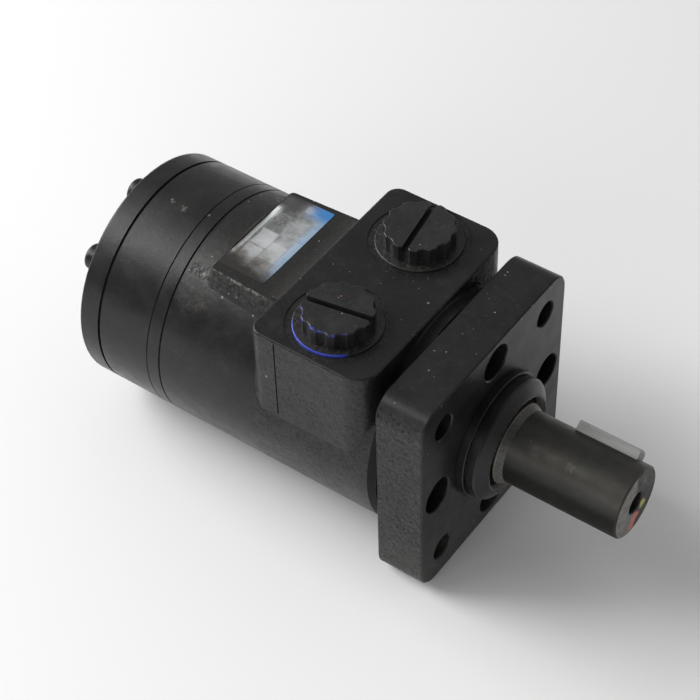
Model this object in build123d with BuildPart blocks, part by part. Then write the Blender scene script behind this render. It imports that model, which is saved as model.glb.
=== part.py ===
"""Orbital hydraulic motor with a square mounting flange, a keyed shaft and two plugged ports.

Frame: the shaft axis is X and the shaft points to +X, the flange's mounting face is the plane X = 0,
and the ports open upwards, to +Z. All sizes are in millimetres.
"""

from build123d import *
from math import cos, pi, radians, sin
import os

os.makedirs("parts", exist_ok=True)

# ---- Lengths along the shaft axis -------------------------------------------------------------
flange_thickness = 17.3
housing_length = 88.2
spacer_thickness = 5.1
geroler_thickness = 20.2
cap_thickness = 8.9
flange_back = -flange_thickness
housing_back = flange_back - housing_length
spacer_back = housing_back - spacer_thickness
geroler_back = spacer_back - geroler_thickness
cap_back = geroler_back - cap_thickness

# ---- Body -------------------------------------------------------------------------------------
body_radius = 41.2
edge_break = 0.5
joint_break = 0.15
cap_groove = (0.9, 0.8)
spacer_groove = (0.35, 0.4)
housing_groove = (0.6, 0.6)
cap_back_edge = 0.9
running_gap = 0.05

# ---- Mounting flange --------------------------------------------------------------------------
flange_width = 82.4
flange_height = 81.6
flange_corner = 8.0
bolt_circle = 82.55
mounting_hole_radius = 4.6
mounting_hole_offset = bolt_circle / 2 * cos(radians(45))
screw_circle = 32.2
counterbore_radius = 6.3
counterbore_depth = 12.0
pilot_radius = 22.2
pilot_length = 2.7
relief_inner = 22.45
relief_radius = 22.95
relief_depth = 0.25
nose_radius = 21.5
nose_groove_radius = 20.6
nose_groove_end = 3.6
nose_shoulder = 6.1
nose_end = 9.3
nose_mouth_radius = 16.65
dust_seal_seat = 3.0
seal_pocket_radius = 20.0
seal_pocket_floor = -5.0
seal_bore_radius = 14.7

# ---- Screws -----------------------------------------------------------------------------------
thread_radius = 3.97
thread_hole_radius = 4.0
thread_relief = 3.0
clearance_hole_radius = 4.25
socket_head_radius = 5.95
socket_head_height = 7.9
socket_screw_reach = 14.0
socket_half_width = 3.2
socket_depth = 4.5
cap_screw_circle = 30.8
cap_screw_count = 7
cap_screw_reach = 16.0
cap_screw_phase = 90.0
seal_washer_radius = 5.9
seal_washer_thickness = 1.0
head_flange_radius = 5.5
head_flange_thickness = 1.3
head_radius = 4.7
head_height = 4.5
head_dome = 1.5
head_socket_radius = 2.5
head_socket_depth = 2.6

# ---- Shaft and key ----------------------------------------------------------------------------
shaft_radius = 12.7
shaft_end = 52.7
shaft_chamfer = 0.6
cone_front = 11.5
cone_back = 9.1
journal_radius = 14.2
centre_hole_radius = 3.9
centre_hole_depth = 16.0
centre_mouth_radius = 4.3
shoulder_radius = 22.5
shoulder_front = -24.0
shoulder_back = -27.0
spool_radius = 19.02
spool_back = -100.5
spool_bore_radius = 12.4
cavity_front = -32.5
key_width = 6.35
key_length = 22.2
key_back = 25.5
key_proud = 3.2
key_angle = 38.0
key_front_round = 1.6
key_back_round = 0.5

# ---- Thrust bearing ---------------------------------------------------------------------------
race_front = flange_back - running_gap
race_back = -20.1
race_inner = 14.7
race_outer = 22.9
needle_radius = 1.9
needle_length = 6.0
needle_circle = 18.5
needle_count = 16
cage_inner = 14.7
cage_outer = 22.6
cage_thickness = 2.4
needle_plane = (race_back + shoulder_front) / 2

# ---- Housing ----------------------------------------------------------------------------------
block_top = 43.7
block_front = -21.4
block_back = -66.2
block_half_width = 40.2
block_front_corner = 8.5
block_back_corner = 4.5
block_edge = 0.7
block_foot_fillet = 2.0
seam_x = -56.0
seam_width = 0.5
seam_depth = 0.35
seam_low = 10.5
seam_high = 42.6
pad_top = 39.5
pad_back = -95.0
pad_back_half_width = 21.9
pad_front_half_width = 23.4
pad_corner = 1.6
pad_wall_height = 9.0
pad_wall_slope = 22.0
ramp_length = 6.0
ramp_radius = 12.0
ramp_turn = 34.0
bearing_pocket_radius = 23.5
spool_bore_clear = 0.03
port_x = -44.0
port_y = 22.4
port_radius = 11.15
port_floor = 27.0
port_mouth_radius = 13.5
mouth_floor = 41.0
spotface_radius = 17.0
spotface_depth = 0.3
oil_groove_radius = 22.0
oil_groove_width = 5.0
oil_groove_places = {"left": -36.0, "right": -60.0}
port_drill_radius = 3.9
drill_foot_radius = 17.0
drill_foot_angle = 25.8
timing_plane = -48.0
passage_radius = 2.6
passage_circle = 22.9
timing_slot_width = 3.4
timing_slot_depth = 2.2

# ---- Plugs ------------------------------------------------------------------------------------
plug_thread_radius = 11.1
plug_thread_floor = 31.0
plug_hollow_radius = 8.7
plug_hollow_top = 40.0
plug_disc_radius = 14.6
plug_disc_thickness = 0.9
plug_head_radius = 11.9
plug_head_top = 50.4
plug_scallops = 12
plug_scallop_radius = 3.2
plug_scallop_depth = 0.85
plug_slot_width = 2.0
plug_slot_depth = 2.6
plug_slot_angles = {"left": 10.0, "right": -80.6}

# ---- Gerotor set ------------------------------------------------------------------------------
roller_count = 7
roller_radius = 5.2
roller_circle = 24.5
eccentricity = 2.6
ring_bore_radius = 25.0
first_roller_angle = cap_screw_phase + 180 / roller_count
star_points = 240
set_length = geroler_thickness - 2 * running_gap
spacer_bore_radius = 12.6
passage_places = [cap_screw_phase + 360 / cap_screw_count * k for k in range(cap_screw_count)]

# ---- Splines and drive ------------------------------------------------------------------------
spline_teeth = 12
inner_spline_minor = 9.6
inner_spline_major = 11.7
inner_groove_half_root = 1.25
inner_groove_half_mouth = 1.9
drive_tip_radius = 11.2
drive_root_radius = 9.0
drive_neck_radius = 8.0
drive_gap_half_root = 0.68
drive_gap_half_mouth = 2.45
drive_crown_drop = 0.35
drive_spline_half = 6.2
front_pivot = -40.4
rear_pivot = -118.6
front_spline_back = -47.5
drive_spacer_radius = 9.3
drive_spacer_length = 5.2

# ---- Seals ------------------------------------------------------------------------------------
seal_waist = 0.7
seal_lip_height = 0.35
dust_seal_length = 4.2
backup_thickness = 1.2
shaft_seal_length = 6.8
seal_case_wall = 1.1
seal_case_floor = 1.4
face_seal_inner = 38.1
face_seal_outer = 39.9
face_seal_depth = 1.4
flange_seal_inner = 25.3
flange_seal_outer = 27.3
flange_seal_depth = 1.5
plug_ring_section = 1.15

# ---- Name plate -------------------------------------------------------------------------------
plate_back = -94.6
plate_front = -76.4
plate_low = -18.6
plate_high = 20.6
plate_thickness = 0.15


def on_circle(radius, angle):
    """The (y, z) point at an angle from +Y towards +Z."""
    return (radius * cos(radians(angle)), radius * sin(radians(angle)))


def turned(outline, mode=Mode.ADD):
    """Turns an outline of (x, radius) points about the shaft axis."""
    with BuildSketch(Plane.XY) as profile:
        with BuildLine():
            Polyline(*outline, close=True)
        make_face()
    revolve(profile.sketch, axis=Axis.X, mode=mode)


def tube(x_low, x_high, inner, outer, mode=Mode.ADD):
    """A plain ring about the shaft axis."""
    turned([(x_low, inner), (x_high, inner), (x_high, outer), (x_low, outer)], mode)


def bars(centres, radius, x_low, x_high, mode=Mode.ADD):
    """Round bars, or holes, along X at (y, z) centres."""
    with BuildSketch(Plane.YZ.offset(x_low)) as spots:
        with Locations(*centres):
            Circle(radius)
    extrude(spots.sketch, amount=x_high - x_low, mode=mode)


def posts(x, y, radius, z_low, z_high, mode=Mode.ADD):
    """A round post, or hole, along Z."""
    with BuildSketch(Plane.XY.offset(z_low)) as spot:
        with Locations((x, y)):
            Circle(radius)
    extrude(spot.sketch, amount=z_high - z_low, mode=mode)


def gap_outline(inner, outer, half_inner, half_outer, angle):
    """Four corners of a straight-sided tooth gap that lies along a radius."""
    corners = [(inner, half_inner), (inner, -half_inner), (outer, -half_outer), (outer, half_outer)]
    turn = radians(angle)
    return [(r * cos(turn) - t * sin(turn), r * sin(turn) + t * cos(turn)) for r, t in corners]


def spline_grooves(plane, length, inner, outer, half_inner, half_outer, phase=0.0):
    """Cuts the tooth gaps of a spline along a plane's normal. A phase of 0.5 starts half a tooth on."""
    with BuildSketch(plane) as gaps:
        for tooth in range(spline_teeth):
            angle = 360 / spline_teeth * (tooth + phase)
            with BuildLine():
                Polyline(*gap_outline(inner, outer, half_inner, half_outer, angle), close=True)
            make_face()
    extrude(gaps.sketch, amount=length, mode=Mode.SUBTRACT)


def outer_rims(piece):
    """The round outer edges of a disc or ring on the shaft axis, the rear one first."""
    rims = piece.edges().filter_by(GeomType.CIRCLE).filter_by(lambda e: e.radius > body_radius - 0.1)
    return rims.sort_by(Axis.X)


def joint_groove(x_low, width, depth):
    """Cuts a step round the outside of the body, which leaves a groove at a joint."""
    tube(x_low, x_low + width, body_radius - depth, body_radius + 1, Mode.SUBTRACT)


def save(piece, name):
    """Labels a finished piece and writes it."""
    piece.label = name
    export_step(piece, f"parts/{name}.step")


cap_screw_places = [on_circle(cap_screw_circle, a) for a in passage_places]
flange_screw_places = [on_circle(screw_circle, 90 * k) for k in range(4)]
passage_centres = [on_circle(passage_circle, a) for a in passage_places]
roller_angles = [first_roller_angle + 360 / roller_count * k for k in range(roller_count)]
roller_centres = [on_circle(roller_circle, a) for a in roller_angles]
mounting_places = [(y * mounting_hole_offset, z * mounting_hole_offset) for y in (-1, 1) for z in (-1, 1)]

# ---- Mounting flange --------------------------------------------------------------------------
with BuildPart() as mounting_flange:
    with BuildSketch(Plane.YZ.offset(flange_back)):
        RectangleRounded(flange_width, flange_height, flange_corner)
    extrude(amount=flange_thickness)
    chamfer(mounting_flange.faces().filter_by(Plane.YZ).edges(), length=edge_break)
    turned([
        (-1, 0),
        (pilot_length, 0),
        (nose_end, 0),
        (nose_end, nose_mouth_radius + 0.6),
        (nose_end - 0.5, nose_mouth_radius + 1.4),
        (nose_shoulder + 0.6, nose_radius - 0.5),
        (nose_shoulder - 0.2, nose_radius),
        (nose_groove_end + 0.2, nose_radius),
        (nose_groove_end, nose_radius - 0.2),
        (nose_groove_end, nose_groove_radius),
        (pilot_length, nose_groove_radius),
        (pilot_length, pilot_radius - 0.3),
        (pilot_length - 0.3, pilot_radius),
        (-1, pilot_radius),
    ])
    tube(-relief_depth, 1, relief_inner, relief_radius, Mode.SUBTRACT)
    turned([
        (nose_end + 1, 0),
        (nose_end + 1, nose_mouth_radius + 0.3),
        (nose_end - 0.3, nose_mouth_radius),
        (dust_seal_seat, nose_mouth_radius),
        (dust_seal_seat, seal_bore_radius),
        (seal_pocket_floor, seal_bore_radius),
        (seal_pocket_floor, seal_pocket_radius),
        (flange_back - 1, seal_pocket_radius),
        (flange_back - 1, 0),
    ], Mode.SUBTRACT)
    bars(mounting_places, mounting_hole_radius, flange_back - 1, 1, Mode.SUBTRACT)
    bars(flange_screw_places, thread_hole_radius, flange_back - 1, 1, Mode.SUBTRACT)
    bars(flange_screw_places, counterbore_radius, -counterbore_depth, 1, Mode.SUBTRACT)
    hole_mouths = (
        mounting_flange.edges()
        .filter_by(GeomType.CIRCLE)
        .filter_by(lambda e: abs(e.arc_center.X) < 0.01 and e.radius < counterbore_radius + 0.1)
    )
    chamfer(hole_mouths, length=0.4)
    tube(flange_back, flange_back + flange_seal_depth, flange_seal_inner, flange_seal_outer, Mode.SUBTRACT)
save(mounting_flange.part, "mounting_flange")

# ---- Flange screws: socket heads down in the counterbores ---------------------------------------
with BuildPart() as flange_screws:
    bars(flange_screw_places, thread_radius, flange_back - socket_screw_reach, -counterbore_depth)
    bars(flange_screw_places, socket_head_radius, -counterbore_depth, socket_head_height - counterbore_depth)
    head_rims = (
        flange_screws.edges()
        .filter_by(GeomType.CIRCLE)
        .filter_by(lambda e: abs(e.arc_center.X - socket_head_height + counterbore_depth) < 0.01)
    )
    chamfer(head_rims, length=0.5)
    with BuildSketch(Plane.YZ.offset(socket_head_height - counterbore_depth)):
        with Locations(*flange_screw_places):
            RegularPolygon(socket_half_width, 6, major_radius=False)
    extrude(amount=-socket_depth, mode=Mode.SUBTRACT)
save(flange_screws.part, "flange_screws")

# ---- Seals and washers in the flange ------------------------------------------------------------
with BuildPart() as dust_seal:
    waist_radius = journal_radius + seal_waist
    lip_radius = journal_radius + running_gap
    turned([
        (dust_seal_seat, waist_radius),
        (dust_seal_seat, nose_mouth_radius),
        (dust_seal_seat + dust_seal_length - 1.2, nose_mouth_radius),
        (dust_seal_seat + dust_seal_length - 1.0, nose_mouth_radius - 0.6),
        (dust_seal_seat + dust_seal_length - 2.0, nose_mouth_radius - 1.1),
        (dust_seal_seat + dust_seal_length, lip_radius + seal_lip_height),
        (dust_seal_seat + dust_seal_length - 0.2, lip_radius),
        (dust_seal_seat + dust_seal_length - 1.0, lip_radius),
        (dust_seal_seat + 1.5, waist_radius),
    ])
save(dust_seal.part, "dust_seal")

with BuildPart() as backup_washer:
    washer_back = seal_pocket_floor - backup_thickness
    tube(washer_back, seal_pocket_floor, journal_radius + running_gap, seal_pocket_radius)
save(backup_washer.part, "backup_washer")

with BuildPart() as shaft_seal:
    seal_front = seal_pocket_floor - backup_thickness
    seal_back = seal_front - shaft_seal_length
    turned([
        (seal_front, journal_radius + seal_waist),
        (seal_front, seal_pocket_radius),
        (seal_back, seal_pocket_radius),
        (seal_back, seal_pocket_radius - seal_case_wall),
        (seal_front - seal_case_floor, seal_pocket_radius - seal_case_wall),
        (seal_front - seal_case_floor, journal_radius + 2.6),
        (seal_back + 0.8, journal_radius + 1.6),
        (seal_back + 1.6, journal_radius + running_gap),
        (seal_back + 2.2, journal_radius + running_gap),
    ])
save(shaft_seal.part, "shaft_seal")

with BuildPart() as flange_seal_ring:
    tube(flange_back, flange_back + flange_seal_depth, flange_seal_inner, flange_seal_outer)
    fillet(flange_seal_ring.edges().sort_by(Axis.X)[-2:], radius=0.6)
save(flange_seal_ring.part, "flange_seal_ring")

# ---- Thrust bearing -----------------------------------------------------------------------------
with BuildPart() as thrust_race:
    tube(race_back, race_front, race_inner, race_outer)
    chamfer(thrust_race.edges(), length=0.25)
save(thrust_race.part, "thrust_race")

with BuildPart() as bearing_cage:
    tube(needle_plane - cage_thickness / 2, needle_plane + cage_thickness / 2, cage_inner, cage_outer)
    with BuildSketch(Plane.YZ.offset(needle_plane - cage_thickness)):
        with PolarLocations(needle_circle, needle_count):
            Rectangle(needle_length + 0.4, 2 * needle_radius + 0.3)
    extrude(amount=2 * cage_thickness, mode=Mode.SUBTRACT)
save(bearing_cage.part, "bearing_cage")

with BuildPart() as bearing_needles:
    for k in range(needle_count):
        turn = 2 * pi / needle_count * k
        outward = (0, cos(turn), sin(turn))
        start = needle_circle - needle_length / 2
        with BuildSketch(Plane(origin=(needle_plane, start * cos(turn), start * sin(turn)), z_dir=outward)):
            Circle(needle_radius)
        extrude(amount=needle_length)
save(bearing_needles.part, "bearing_needles")

# ---- Output shaft with its valve spool ------------------------------------------------------------
key_plane = Plane(
    origin=(key_back, *on_circle(shaft_radius + key_proud - key_width, key_angle)),
    x_dir=(1, 0, 0),
    z_dir=(0, *on_circle(1, key_angle)),
)
with BuildPart() as output_shaft:
    turned([
        (shaft_end, 0),
        (shaft_end, shaft_radius - shaft_chamfer),
        (shaft_end - shaft_chamfer, shaft_radius),
        (cone_front, shaft_radius),
        (cone_back, journal_radius),
        (shoulder_front, journal_radius),
        (shoulder_front, shoulder_radius - 0.5),
        (shoulder_front - 0.5, shoulder_radius),
        (shoulder_back, shoulder_radius),
        (shoulder_back, spool_radius),
        (spool_back, spool_radius),
        (spool_back, spool_bore_radius),
        (front_spline_back, spool_bore_radius),
        (front_spline_back, inner_spline_minor),
        (cavity_front, inner_spline_minor),
        (cavity_front, 0),
    ])
    turned([
        (shaft_end + 1, 0),
        (shaft_end + 1, centre_mouth_radius + 1),
        (shaft_end, centre_mouth_radius),
        (shaft_end - centre_mouth_radius + centre_hole_radius, centre_hole_radius),
        (shaft_end - centre_hole_depth, centre_hole_radius),
        (shaft_end - centre_hole_depth - 1.5, 0),
    ], Mode.SUBTRACT)
    with BuildSketch(key_plane):
        with Locations((key_length / 2, 0)):
            Rectangle(key_length, key_width)
    extrude(amount=key_width, mode=Mode.SUBTRACT)
    spline_grooves(
        Plane.YZ.offset(front_spline_back),
        cavity_front - front_spline_back,
        inner_spline_minor - 0.4,
        inner_spline_major,
        inner_groove_half_mouth,
        inner_groove_half_root,
    )
    for groove_x in oil_groove_places.values():
        tube(
            groove_x - oil_groove_width / 2,
            groove_x + oil_groove_width / 2,
            spool_radius - timing_slot_depth,
            spool_radius + 1,
            Mode.SUBTRACT,
        )
    for k in range(2 * (roller_count - 1)):
        angle = 180 / (roller_count - 1) * k
        groove_x = oil_groove_places["left"] if k % 2 == 0 else oil_groove_places["right"]
        reach = timing_plane - 5 if k % 2 == 0 else timing_plane + 5
        low, high = sorted((groove_x, reach))
        slot_plane = Plane(
            origin=((low + high) / 2, *on_circle(spool_radius - timing_slot_depth, angle)),
            x_dir=(1, 0, 0),
            z_dir=(0, *on_circle(1, angle)),
        )
        with BuildSketch(slot_plane):
            SlotOverall(high - low, timing_slot_width)
        extrude(amount=timing_slot_depth + 1, mode=Mode.SUBTRACT)
save(output_shaft.part, "output_shaft")

with BuildPart() as shaft_key:
    with BuildSketch(key_plane):
        with Locations((key_length / 2, 0)):
            Rectangle(key_length, key_width)
    extrude(amount=key_width)
    across = Axis((0, 0, 0), (0, *on_circle(1, key_angle + 90)))
    outward = Axis((0, 0, 0), (0, *on_circle(1, key_angle)))
    key_ends = shaft_key.edges().filter_by(across).sort_by(outward)[-2:]
    fillet(key_ends.sort_by(Axis.X)[-1], radius=key_front_round)
    fillet(key_ends.sort_by(Axis.X)[0], radius=key_back_round)
save(shaft_key.part, "shaft_key")

# ---- Housing --------------------------------------------------------------------------------------
with BuildPart() as housing:
    bars([(0, 0)], body_radius, housing_back, flange_back)
    with BuildSketch(Plane.XY) as block_plan:
        with Locations(((block_front + block_back) / 2, 0)):
            Rectangle(block_front - block_back, 2 * block_half_width)
        fillet(block_plan.vertices().group_by(Axis.X)[-1], radius=block_front_corner)
        fillet(block_plan.vertices().group_by(Axis.X)[0], radius=block_back_corner)
    extrude(amount=block_top)
    block_foot = (
        housing.edges()
        .filter_by(lambda e: e.center().X < block_back + block_back_corner)
        .filter_by(lambda e: abs(e.center().Y) > 3 and 8 < e.center().Z < block_top - 0.1)
        .filter_by(lambda e: abs(Vector(0, e.center().Y, e.center().Z).length - body_radius) < 0.5)
    )
    fillet(block_foot, radius=block_foot_fillet)
    with BuildSketch(Plane.XY.offset(pad_top)) as pad_plan:
        with BuildLine():
            Polyline(
                (pad_back, -pad_back_half_width),
                (block_back + 2, -pad_front_half_width),
                (block_back + 2, pad_front_half_width),
                (pad_back, pad_back_half_width),
                close=True,
            )
        make_face()
        fillet(pad_plan.vertices().group_by(Axis.X)[0], radius=pad_corner)
    extrude(amount=-pad_wall_height, taper=-pad_wall_slope)
    with BuildSketch(Plane.XY.offset(pad_top)):
        with Locations(((block_back + pad_back) / 2, 0)):
            Rectangle(block_back - pad_back, 2 * pad_back_half_width)
    extrude(amount=4, mode=Mode.SUBTRACT)
    with BuildSketch(Plane.XZ.offset(-pad_back_half_width)):
        with BuildLine():
            ramp_foot = (block_back - ramp_length, pad_top)
            ramp_arc = JernArc(ramp_foot, (1, 0), ramp_radius, ramp_turn)
            Polyline(
                ramp_arc @ 1,
                (block_back + 3, pad_top - 1),
                (block_back - ramp_length, pad_top - 1),
                ramp_foot,
            )
        make_face()
    extrude(amount=2 * pad_back_half_width)
    fillet(housing.faces().sort_by(Axis.Z)[-1].edges(), radius=block_edge)
    joint_groove(housing_back, *housing_groove)
    for hand in (-1, 1):
        with BuildSketch(Plane.XZ.offset(-hand * block_half_width)):
            with Locations((seam_x, (seam_low + seam_high) / 2)):
                Rectangle(seam_width, seam_high - seam_low)
        extrude(amount=seam_depth, both=True, mode=Mode.SUBTRACT)
    turned([
        (housing_back - 1, 0),
        (housing_back - 1, spool_radius + spool_bore_clear),
        (shoulder_back - 0.25, spool_radius + spool_bore_clear),
        (shoulder_back - 0.25, bearing_pocket_radius),
        (flange_back + 1, bearing_pocket_radius),
        (flange_back + 1, 0),
    ], Mode.SUBTRACT)
    for side, groove_x in oil_groove_places.items():
        hand = -1 if side == "left" else 1
        tube(
            groove_x - oil_groove_width / 2,
            groove_x + oil_groove_width / 2,
            spool_radius - 1,
            oil_groove_radius,
            Mode.SUBTRACT,
        )
        posts(port_x, hand * port_y, spotface_radius, block_top - spotface_depth, block_top + 1, Mode.SUBTRACT)
        posts(port_x, hand * port_y, port_radius, port_floor, block_top + 1, Mode.SUBTRACT)
        posts(port_x, hand * port_y, port_mouth_radius, mouth_floor, block_top + 1, Mode.SUBTRACT)
        drill_foot = Vector(groove_x, *on_circle(drill_foot_radius, 90 - hand * drill_foot_angle))
        drill_head = Vector(port_x, hand * port_y, port_floor + 1)
        drill_run = drill_head - drill_foot
        with BuildSketch(Plane(origin=drill_foot, z_dir=drill_run)):
            Circle(port_drill_radius)
        extrude(amount=drill_run.length, mode=Mode.SUBTRACT)
    bars(passage_centres, passage_radius, housing_back - 1, timing_plane + passage_radius, Mode.SUBTRACT)
    for angle in passage_places:
        outward = (0, *on_circle(1, angle))
        with BuildSketch(Plane(origin=(timing_plane, *on_circle(spool_radius - 1, angle)), z_dir=outward)):
            Circle(passage_radius - 0.2)
        extrude(amount=passage_circle - spool_radius + 1, mode=Mode.SUBTRACT)
    flange_thread_floor = flange_back - socket_screw_reach - thread_relief
    cap_thread_floor = housing_back + cap_screw_reach + thread_relief
    bars(flange_screw_places, thread_hole_radius, flange_thread_floor, flange_back, Mode.SUBTRACT)
    bars(cap_screw_places, thread_hole_radius, housing_back, cap_thread_floor, Mode.SUBTRACT)
    tube(housing_back, housing_back + face_seal_depth, face_seal_inner, face_seal_outer, Mode.SUBTRACT)
save(housing.part, "housing")

# ---- Plates and rings behind the housing ----------------------------------------------------------
with BuildPart() as spacer_plate:
    tube(spacer_back, housing_back, spacer_bore_radius, body_radius)
    chamfer(outer_rims(spacer_plate), length=joint_break)
    joint_groove(spacer_back, *spacer_groove)
    bars(cap_screw_places, clearance_hole_radius, spacer_back - 1, housing_back + 1, Mode.SUBTRACT)
    bars(passage_centres, passage_radius, spacer_back - 1, housing_back + 1, Mode.SUBTRACT)
    tube(spacer_back, spacer_back + face_seal_depth, face_seal_inner, face_seal_outer, Mode.SUBTRACT)
save(spacer_plate.part, "spacer_plate")

with BuildPart() as geroler_ring:
    tube(geroler_back, spacer_back, ring_bore_radius, body_radius)
    chamfer(outer_rims(geroler_ring), length=joint_break)
    bars(roller_centres, roller_radius + running_gap, geroler_back - 1, spacer_back + 1, Mode.SUBTRACT)
    bars(cap_screw_places, clearance_hole_radius, geroler_back - 1, spacer_back + 1, Mode.SUBTRACT)
save(geroler_ring.part, "geroler_ring")

with BuildPart() as end_cap:
    bars([(0, 0)], body_radius, cap_back, geroler_back)
    fillet(outer_rims(end_cap)[0], radius=cap_back_edge)
    joint_groove(geroler_back - cap_groove[0], *cap_groove)
    bars(cap_screw_places, clearance_hole_radius, cap_back - 1, geroler_back + 1, Mode.SUBTRACT)
    tube(geroler_back - face_seal_depth, geroler_back, face_seal_inner, face_seal_outer, Mode.SUBTRACT)
save(end_cap.part, "end_cap")

face_seal_places = {
    "housing_seal_ring": (housing_back, housing_back + face_seal_depth),
    "spacer_seal_ring": (spacer_back, spacer_back + face_seal_depth),
    "end_cap_seal_ring": (geroler_back - face_seal_depth, geroler_back),
}
for seal_name, (seal_low, seal_high) in face_seal_places.items():
    with BuildPart() as face_seal:
        tube(seal_low, seal_high, face_seal_inner, face_seal_outer)
    save(face_seal.part, seal_name)

# ---- Cap screws and their seal washers --------------------------------------------------------------
head_seat = cap_back - seal_washer_thickness
head_back = head_seat - head_flange_thickness - head_height
with BuildPart() as cap_screws:
    bars(cap_screw_places, thread_radius, head_seat, housing_back + cap_screw_reach)
    bars(cap_screw_places, head_flange_radius, head_seat - head_flange_thickness, head_seat)
    bars(cap_screw_places, head_radius, head_back, head_seat - head_flange_thickness)
    flange_rims = (
        cap_screws.edges()
        .filter_by(GeomType.CIRCLE)
        .filter_by(lambda e: abs(e.arc_center.X - head_seat + head_flange_thickness) < 0.01)
        .filter_by(lambda e: e.radius > head_flange_radius - 0.1)
    )
    chamfer(flange_rims, length=0.5)
    fillet(cap_screws.edges().filter_by(GeomType.CIRCLE).group_by(Axis.X)[0], radius=head_dome)
    with BuildSketch(Plane.YZ.offset(head_back)):
        with Locations(*cap_screw_places):
            RegularPolygon(head_socket_radius, 6, major_radius=False)
    extrude(amount=head_socket_depth, mode=Mode.SUBTRACT)
save(cap_screws.part, "cap_screws")

with BuildPart() as seal_washers:
    bars(cap_screw_places, seal_washer_radius, head_seat, cap_back)
    bars(cap_screw_places, clearance_hole_radius, head_seat - 1, cap_back + 1, Mode.SUBTRACT)
save(seal_washers.part, "seal_washers")

# ---- Gerotor set ------------------------------------------------------------------------------------
set_low = geroler_back + running_gap
star_centre = on_circle(eccentricity, first_roller_angle)


def star_outline():
    """The curve inside the path that a roller's centre makes round the star, one roller radius in.

    The path is roller_circle * exp(i*u) - eccentricity * exp(i*(7*u + shift)) about the star's centre,
    and shift is chosen so that a hollow of the star meets the first roller.
    """
    shift = radians(first_roller_angle) * (1 - roller_count)
    inset = roller_radius + running_gap
    points = []
    for k in range(star_points):
        u = 2 * pi * k / star_points
        v = roller_count * u + shift
        y = roller_circle * cos(u) - eccentricity * cos(v)
        z = roller_circle * sin(u) - eccentricity * sin(v)
        dy = -roller_circle * sin(u) + roller_count * eccentricity * sin(v)
        dz = roller_circle * cos(u) - roller_count * eccentricity * cos(v)
        slope = (dy * dy + dz * dz) ** 0.5
        points.append((star_centre[0] + y - inset * dz / slope, star_centre[1] + z + inset * dy / slope))
    return points


with BuildPart() as star:
    with BuildSketch(Plane.YZ.offset(set_low)):
        with BuildLine():
            Spline(*star_outline(), periodic=True)
        make_face()
        with Locations(star_centre):
            Circle(inner_spline_minor, mode=Mode.SUBTRACT)
    extrude(amount=set_length)
    spline_grooves(
        Plane(origin=(set_low - 1, *star_centre), x_dir=(0, 1, 0), z_dir=(1, 0, 0)),
        set_length + 2,
        inner_spline_minor - 0.4,
        inner_spline_major,
        inner_groove_half_mouth,
        inner_groove_half_root,
    )
save(star.part, "star")

for number, centre in enumerate(roller_centres, start=1):
    with BuildPart() as roller:
        bars([centre], roller_radius, set_low, set_low + set_length)
        chamfer(roller.edges().filter_by(GeomType.CIRCLE), length=0.3)
    save(roller.part, f"roller_{number}")

with BuildPart() as drive_spacer:
    bars([star_centre], drive_spacer_radius, set_low, set_low + drive_spacer_length)
    chamfer(drive_spacer.edges().filter_by(GeomType.CIRCLE), length=0.4)
save(drive_spacer.part, "drive_spacer")

# ---- Drive link: a splined shaft that leans from the shaft's axis to the star's ------------------------
front_pivot_point = Vector(front_pivot, 0, 0)
rear_pivot_point = Vector(rear_pivot, *star_centre)
drive_direction = (front_pivot_point - rear_pivot_point).normalized()
drive_span = (front_pivot_point - rear_pivot_point).length
drive_plane = Plane(origin=rear_pivot_point, x_dir=(0, 1, 0), z_dir=drive_direction)
side_plane = Plane(origin=rear_pivot_point, x_dir=drive_direction, z_dir=drive_plane.x_dir)
with BuildPart() as drive_link:
    with BuildSketch(side_plane) as half_profile:
        with BuildLine():
            rear_end = -drive_spline_half
            front_end = drive_span + drive_spline_half
            edge_tip = drive_tip_radius - drive_crown_drop
            Line((rear_end, 0), (rear_end, edge_tip))
            ThreePointArc((rear_end, edge_tip), (0, drive_tip_radius), (drive_spline_half, edge_tip))
            Polyline(
                (drive_spline_half, edge_tip),
                (drive_spline_half + 4, drive_neck_radius),
                (drive_span - drive_spline_half - 4, drive_neck_radius),
                (drive_span - drive_spline_half, edge_tip),
            )
            ThreePointArc(
                (drive_span - drive_spline_half, edge_tip),
                (drive_span, drive_tip_radius),
                (front_end, edge_tip),
            )
            Polyline((front_end, edge_tip), (front_end, 0), (rear_end, 0))
        make_face()
    revolve(half_profile.sketch, axis=Axis(rear_pivot_point, drive_direction))
    gap_length = 2 * drive_spline_half + 5
    for gap_start, gap_run in ((rear_end - 1, gap_length), (front_end + 1, -gap_length)):
        spline_grooves(
            drive_plane.offset(gap_start),
            gap_run,
            drive_root_radius,
            drive_tip_radius + 0.8,
            drive_gap_half_root,
            drive_gap_half_mouth,
            phase=0.5,
        )
save(drive_link.part, "drive_link")

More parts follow.
